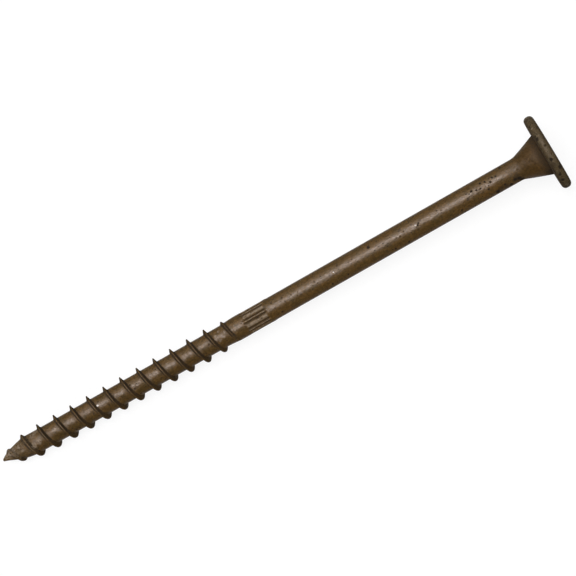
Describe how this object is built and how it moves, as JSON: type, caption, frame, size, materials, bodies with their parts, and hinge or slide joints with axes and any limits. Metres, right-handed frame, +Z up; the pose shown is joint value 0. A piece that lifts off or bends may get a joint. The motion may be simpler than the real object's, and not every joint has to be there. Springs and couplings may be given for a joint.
{
  "type": "construction screw",
  "caption": "Long coated wood screw with a washer head, six-lobe drive, conical neck, plain shank, reamer collar and coarse thread to a sharp point.",
  "frame": {"origin": "centre of the bounding box's bottom face, on the surface that the screw lies on", "axes": "+X towards the head and -X towards the point, with the screw's axis rising by 2.41 degrees towards the head; +Z up, away from the surface it lies on"},
  "size_m": [0.1526, 0.0194, 0.0194],
  "materials": {
    "coated_steel": "satin bronze-brown protective coating over steel"
  },
  "bodies": {
    "root": {"construction_screw": "coated_steel"}
  },
  "joints": []
}
